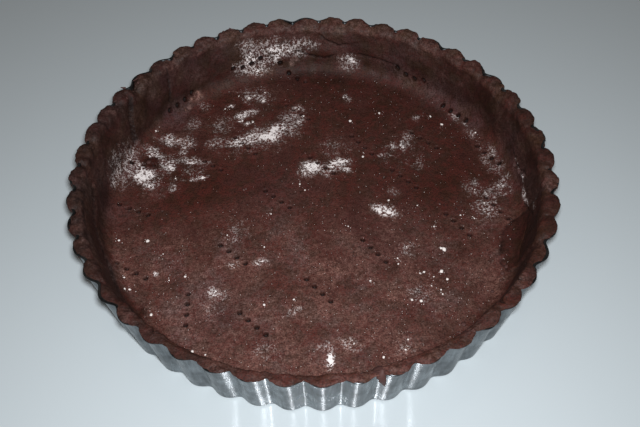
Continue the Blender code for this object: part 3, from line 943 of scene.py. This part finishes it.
def pastry_case():
    bm, seen, rim = plain_case()
    holes = by_bucket(fork_holes(), lambda hole: 4)
    patches = by_bucket(DUST, lambda patch: 1.9 * max(patch[3], patch[4]) + 4)
    refine_round(bm, holes, 2.5 * MM)
    bmesh.ops.triangulate(bm, faces=bm.faces)
    bm.normal_update()
    hollow, flour, film_and_sheen, purple_patch, olive = (bm.verts.layers.float.new(mask) for mask in DOUGH_MASKS)
    moves = []
    for vert in bm.verts:
        if vert[seen] < 0.5:
            continue
        point, angle = vert.co.copy(), angle_of(vert.co)
        wall = soft_step((point.xy.length - WALL_MARKS_START) / (7 * MM))
        rise, dark, cover, lump = handling_relief(point, wall), 0.0, 0.0, 0.0
        if wall > 0:
            on_wall, dark, lump = wall_relief(point, angle, wall, vert[rim])
            rise += on_wall
        # Painted shade in the back corner; the floor also a little darker towards the right.
        back_corner = bell(point.xy.length - WALL_MARKS_START, 15 * MM) * bell(arc_between(angle, 88), 0.55)
        back_corner *= 0.40 + 0.45 * uneven(point, 7)
        dark = max(dark, back_corner, 0.08 * soft_step(point.x / (60 * MM)) * (1 - wall))
        if point.xy.length > 95 * MM:
            flap, cover, edge = flap_relief(point)
            rise += flap
            # Painted shadow along each flap's edge; the flap's own barer dough a little darker.
            dark = max(dark, 0.55 * edge, 0.3 * cover)
        if vert[rim] > 0.5:
            rise += 0.8 * MM * uneven(point, 3.6) + 0.45 * MM * uneven(point, 1.5)
            # Painted shade in the notches between the knobs and in the splits of the rim.
            outer = soft_step((point.xy.length - 134 * MM) / (4 * MM))
            notch = (1 - knob_share(angle)) ** 2 * (0.7 - 0.45 * front_share(angle)) * outer
            split = split_share(point, angle)
            rise -= 1.6 * MM * split
            dark = max(dark, notch, split)
        move = vert.normal * rise
        deep = press_holes(point, wall, holes, move)
        moves.append((vert, move))
        # Flour, film and purple patches thin out where shade is painted, and the tine holes stay bare.
        bare = (1 - min(dark * 1.4, 1)) if wall < 0.5 else 1 - max(dark - 0.45, 0)
        bare *= 1 - min(deep * 1.4, 1)
        # Painted shade inside the tine holes.
        dark = max(dark, deep)
        powder = dust_at(point, patches) * (1 - 0.7 * cover)
        # The painted shade gathered above.
        vert[hollow] = min(dark, 1)
        vert[flour] = powder * bare
        vert[purple_patch] = purple_patch_at(point) * bare * (1 - cover)
        patchy = 0.2 + 1.5 * uneven(point, 9, (2, 2, 0)) + 0.45 * lump / MM
        vert[olive] = wall * soft_step(patchy) * (1 - 0.8 * front_share(angle) ** 2)
        back_rim = 0.06 * vert[rim] * (1 - front_share(angle)) ** 2
        thin = film_and_sheen_at(point, wall) * (1 - 0.8 * cover) + back_rim + 0.2 * min(powder, 0.8)
        vert[film_and_sheen] = thin * bare
    for vert, move in moves:
        vert.co += move
        if vert[rim] > 0.5:
            trim_rim(vert)
    bm.normal_update()
    surface = BVHTree.FromBMesh(bm)
    finish_piece("pastry_case_pressed", bm, cocoa_dough(), "cocoa_dough", "pastry_case")
    return surface


dough_surface = pastry_case()


# Flour grains. Coarse grains and clumps of the flour that the case was dusted with,
# left lying on the dough where the finer dust was pressed in.
SPECKS = 1100
SPECK_REACH = 122

# Clumps of flour: (x, y, width).
CLUMPS = (
    (61, -52.5, 1.7), (58.5, -53.3, 1.2), (71, -52.5, 2.0), (73.5, -58, 1.4), (57, -72, 2.2), (52, -71, 1.4),
    (66, -56, 0.8), (69.5, -68, 1.1), (64, -62, 0.8), (69, -65, 1.0), (45, -102, 1.3), (47, -96, 1.2),
    (47, -42, 1.0), (47, -46, 1.0), (30, -57, 1.2), (71, -20, 1.2), (20, -17, 1.1), (74.5, -37, 2.8),
    (73, -36, 1.4), (-30, -30, 1.1), (-99, -22, 1.8), (-116, -21, 1.4), (-75, -49, 1.5), (-84, -51, 1.1),
    (-110, -48.5, 1.1), (-106, -57, 1.7), (-110, -58, 1.4), (-92, -74, 1.7), (-30, -70, 1.4),
    (-13.5, -67.5, 1.2), (-89, -32, 0.9), (33, -106, 1.3), (18, -97, 1.0), (-68, -98, 1.6), (-61, -100, 1.1),
    (27, 72.5, 2.0), (47, 79, 1.9), (33, 39.5, 1.5), (81, 74, 1.6), (87.5, 66, 1.8), (46, 2, 1.1),
    (63, -3, 0.9), (-8, 18, 1.3), (-5, 13, 1.0), (-69, 27, 1.5), (-86, 27, 1.2), (-103, 69, 1.3),
    (-57, 89, 1.0), (-48, 101, 1.0),
    (-30, 104, 1.2), (-41, 99, 1.6), (-31, 95.5, 1.7), (-37, 101, 1.0), (-53, 92, 1.4), (-45, 76.5, 1.6),
    (-42, 74, 1.2), (-38, 75, 1.4), (-4, 79, 1.2), (-7, 86, 1.0), (24, 96, 1.2), (-26, -5, 0.9),
    (-52, -20, 1.0), (53, -34, 0.9), (88, -12, 1.0), (96, -15, 1.0), (104, -3, 1.0), (100, 8, 1.0),
    (109, 56, 1.3), (99, 71, 1.2),
)


def flour_powder():
    made, tree, shader = new_material("flour", Roughness=0.9, Specular_IOR_Level=0.2)
    colour = blend_colours(tree, grain(tree, 0.6 * MM, 2), (0.80, 0.74, 0.70), (0.88, 0.85, 0.83))
    tree.links.new(colour, shader.inputs["Base Color"])
    return made


def on_dough(x, y, z=FLOOR_TOP / MM):
    """Point and normal of the dough nearest to a place in millimetres."""
    spot, normal, _, _ = dough_surface.find_nearest(Vector((x, y, z)) * MM)
    return spot, normal


def add_grain(bm, draw, spot, normal, width, fineness, flatness=0.6):
    """Adds one uneven grain that lies on the dough."""
    half = width / 2
    scale = [half * draw.uniform(0.75, 1.25), half * draw.uniform(0.75, 1.25), half * flatness]
    upright = normal.to_track_quat("Z", "Y").to_matrix().to_4x4()
    turn = upright @ Matrix.Rotation(draw.uniform(0, 6.3), 4, "Z")
    place = Matrix.Translation(spot + normal * width * 0.12) @ turn @ Matrix.Diagonal((*scale, 1))
    made = bmesh.ops.create_icosphere(bm, subdivisions=fineness, radius=1, matrix=place)
    centre = place.translation
    for vert in made["verts"]:
        vert.co = centre + (vert.co - centre) * draw.uniform(0.75, 1.2)


def flour_grains():
    draw = random.Random(7)
    bm = bmesh.new()
    for x, y, width in CLUMPS:
        spot, normal = on_dough(x, y)
        add_grain(bm, draw, spot, normal, width * MM, 2)
        for _ in range(3):
            near, normal = on_dough(x + draw.gauss(0, 1.8), y + draw.gauss(0, 1.8))
            add_grain(bm, draw, near, normal, draw.uniform(0.25, 0.55) * MM, 1)
    wanted = SPECKS
    while wanted:
        x, y = draw.uniform(-SPECK_REACH, SPECK_REACH), draw.uniform(-SPECK_REACH, SPECK_REACH)
        density = 0.25 + 0.35 * soft_step((x + 60) / 150) + 0.4 * soft_step((20 - y) / 60)
        if math.hypot(x, y) > SPECK_REACH or draw.random() > density:
            continue
        spot, normal = on_dough(x, y)
        add_grain(bm, draw, spot, normal, draw.uniform(0.16, 0.42) * MM, 1)
        wanted -= 1
    bmesh.ops.recalc_face_normals(bm, faces=bm.faces)
    finish_piece("flour_grains", bm, flour_powder(), "cocoa_dough")


flour_grains()


# Dough crumbs. Bits of the same raw dough: crumbs and pale buttery bits that stuck to
# the case, curls left on the rim by the cut, and a tongue that hangs over the tin's edge.
# Each crumb is (x, y, z, width).
CRUMBS = (
    (-96, 31.5, 5, 2.0), (-90, 30, 5, 1.4), (-71, 44, 5, 1.2), (-110, 47, 5, 1.5), (-45, 77, 5, 1.2),
    (-5, 83, 5, 1.6), (44, 82, 5, 1.3), (8, 32, 5, 1.8), (12, 27, 5, 2.0), (93, 54, 5, 1.2),
    (-104, 41, 6, 3.4), (105, -56, 6, 2.2), (108, -52, 6, 2.6), (103, -61, 6, 2.0), (97, -68, 6, 2.2),
    (88, -79, 6, 2.0), (78, -88, 6, 2.4), (74, -93, 6, 1.8), (-75, -97, 8, 2.0), (-82, -92, 8, 1.6),
    (-113, 66, 41, 1.6), (-52, 128, 42, 2.0), (-56, 126, 42, 1.5), (-109, 78, 41, 1.8),
)
PALE_BITS = ((-78, 96, 9, 1.6), (-73, 99.5, 9, 1.4), (-84, 88, 6, 1.5), (-88, 85, 6, 1.2), (-9, 127, 16, 1.4))


def pale_dough():
    made, tree, shader = new_material("pale_dough", Roughness=0.7, Specular_IOR_Level=0.3)
    butter = remap(tree, grain(tree, 1.6 * MM, 3), 0.4, 0.6)
    colour = blend_colours(tree, butter, (0.06, 0.022, 0.015), (0.15, 0.075, 0.055))
    tree.links.new(colour, shader.inputs["Base Color"])
    return made


def crumbs(name, places, material, flatness, seed):
    draw = random.Random(seed)
    bm = bmesh.new()
    for x, y, z, width in places:
        spot, normal = on_dough(x, y, z)
        add_grain(bm, draw, spot, normal, width * MM, 3, flatness)
        for _ in range(4):
            near, normal = on_dough(x + draw.gauss(0, width * 0.8), y + draw.gauss(0, width * 0.8), z)
            add_grain(bm, draw, near, normal, draw.uniform(0.3, 0.9) * MM, 1)
    bmesh.ops.recalc_face_normals(bm, faces=bm.faces)
    finish_piece(name, bm, material, "cocoa_dough")


crumbs("dough_crumbs", CRUMBS, bpy.data.materials["cocoa_dough"], 0.6, 3)
crumbs("pale_bits", PALE_BITS, pale_dough(), 0.25, 5)


def strand(bm, path, widths, thickness):
    """A flattened strand of dough along a path of points, tapering as its widths say."""
    tube = bmesh.new()
    bmesh.ops.create_cone(tube, segments=12, radius1=1, radius2=1, depth=1, cap_ends=True)
    upright = [e for e in tube.edges if abs(e.verts[0].co.z - e.verts[1].co.z) > 0.5]
    bmesh.ops.subdivide_edges(tube, edges=upright, cuts=len(path) * 3)
    for vert in tube.verts:
        share = (vert.co.z + 0.5) * (len(path) - 1)
        part = min(int(share), len(path) - 2)
        way = path[part + 1] - path[part]
        middle = path[part] + way * (share - part)
        side = way.cross(at(1, angle_of(middle), 0)).normalized()
        if side.length < 0.5:
            side = at(1, angle_of(middle) + math.pi / 2, 0)
        thick = way.cross(side).normalized()
        half = widths[part] + (widths[part + 1] - widths[part]) * (share - part)
        swell = 1 + 0.25 * uneven(middle, 1.5, vert.co)
        vert.co = middle + (side * vert.co.x * half + thick * vert.co.y * min(thickness, half)) * swell
    shape = bpy.data.meshes.new("strand")
    tube.to_mesh(shape)
    tube.free()
    bm.from_mesh(shape)
    bpy.data.meshes.remove(shape)


def rim_strands():
    """The tongue in front, from points of (radius, height), and the curls left by the cut."""
    bm = bmesh.new()
    over = ((132.6, 38.2), (134.0, 39.4), (135.8, 40.3), (137.6, 40.0), (138.8, 38.0), (138.9, 35.2),
            (138.6, 32.2), (138.2, 29.2))
    widths = [w * MM for w in (2.6, 2.8, 2.8, 2.5, 2.0, 1.4, 0.8, 0.2)]
    path = [at(r * MM, math.radians(282.5) - w / RIM_RADIUS, z * MM) for (r, z), w in zip(over, widths)]
    strand(bm, path, widths, 0.8 * MM)
    for angle, lean in ((111.0, 1), (112.2, -1), (147.5, 1), (144.2, -1)):
        path = [
            at((137.2 + lean * 0.6 * k) * MM, math.radians(angle + lean * 0.3 * k), (40.1 + 0.55 * k) * MM)
            for k in range(4)
        ]
        strand(bm, path, [w * MM for w in (0.9, 0.7, 0.45, 0.2)], 0.3 * MM)
    bmesh.ops.recalc_face_normals(bm, faces=bm.faces)
    finish_piece("rim_strands", bm, bpy.data.materials["cocoa_dough"], "cocoa_dough")


rim_strands()


# Table. A plain pale top with a glossy coat that the tin stands on; it isn't part of
# the object.
TABLE_HALF = 3.0


def table_top():
    bm = bmesh.new()
    bmesh.ops.create_grid(bm, x_segments=1, y_segments=1, size=TABLE_HALF)
    made, _, shader = new_material(
        "pale_table", Roughness=0.5, Coat_Weight=1.0, Coat_Roughness=0.165, Coat_IOR=2.0
    )
    shader.inputs["Base Color"].default_value = (0.605, 0.70, 0.742, 1)
    mesh = bpy.data.meshes.new("table_top")
    bm.to_mesh(mesh)
    bm.free()
    mesh.materials.append(made)
    top = bpy.data.objects.new("table_top", mesh)
    bpy.context.scene.collection.objects.link(top)


table_top()


# Camera. It looks down on the case from the front, a little under half a metre away.
ELEVATION = math.radians(50.38)
AROUND = math.radians(0.783)
DISTANCE = 0.4916
PAN = math.radians(-0.4358)
TILT = math.radians(-0.1857)
ROLL = math.radians(1.693)
LENS = 44.97
SENSOR_WIDTH = 36

back = Vector((-math.sin(AROUND), -math.cos(AROUND), 0)) * math.cos(ELEVATION)
back.z = math.sin(ELEVATION)
look = -back
right = look.cross(Vector((0, 0, 1))).normalized()
up = right.cross(look)
look = Matrix.Rotation(PAN, 3, up) @ look
right = Matrix.Rotation(PAN, 3, up) @ right
look = Matrix.Rotation(TILT, 3, right) @ look
up = right.cross(look)
right = Matrix.Rotation(ROLL, 3, look) @ right
up = Matrix.Rotation(ROLL, 3, look) @ up
camera = bpy.data.objects.new("camera", bpy.data.cameras.new("camera"))
camera.data.lens = LENS
camera.data.sensor_width = SENSOR_WIDTH
camera.matrix_world = Matrix.Translation(back * DISTANCE) @ Matrix((right, up, -look)).transposed().to_4x4()
bpy.context.scene.collection.objects.link(camera)
bpy.context.scene.camera = camera


# Light. One soft lamp by the camera, and a dim even room.
def lamp(name, place, target, size, power, colour):
    data = bpy.data.lights.new(name, "AREA")
    data.shape = "DISK"
    data.size = size
    data.energy = power
    data.color = colour
    made = bpy.data.objects.new(name, data)
    made.location = place
    made.rotation_euler = (Vector(target) - Vector(place)).to_track_quat("-Z", "Y").to_euler()
    bpy.context.scene.collection.objects.link(made)


lamp("flash", (0.004, -0.298, 0.394), (0, 0.12, 0), 0.04, 2.5, (1.0, 0.98, 0.99))
world = bpy.data.worlds.new("room")
bpy.context.scene.world = world
world.use_nodes = True
room = world.node_tree.nodes["Background"].inputs
room["Color"].default_value = (1.0, 0.88, 0.8, 1)
room["Strength"].default_value = 0.10
bpy.context.scene.view_settings.view_transform = "Standard"
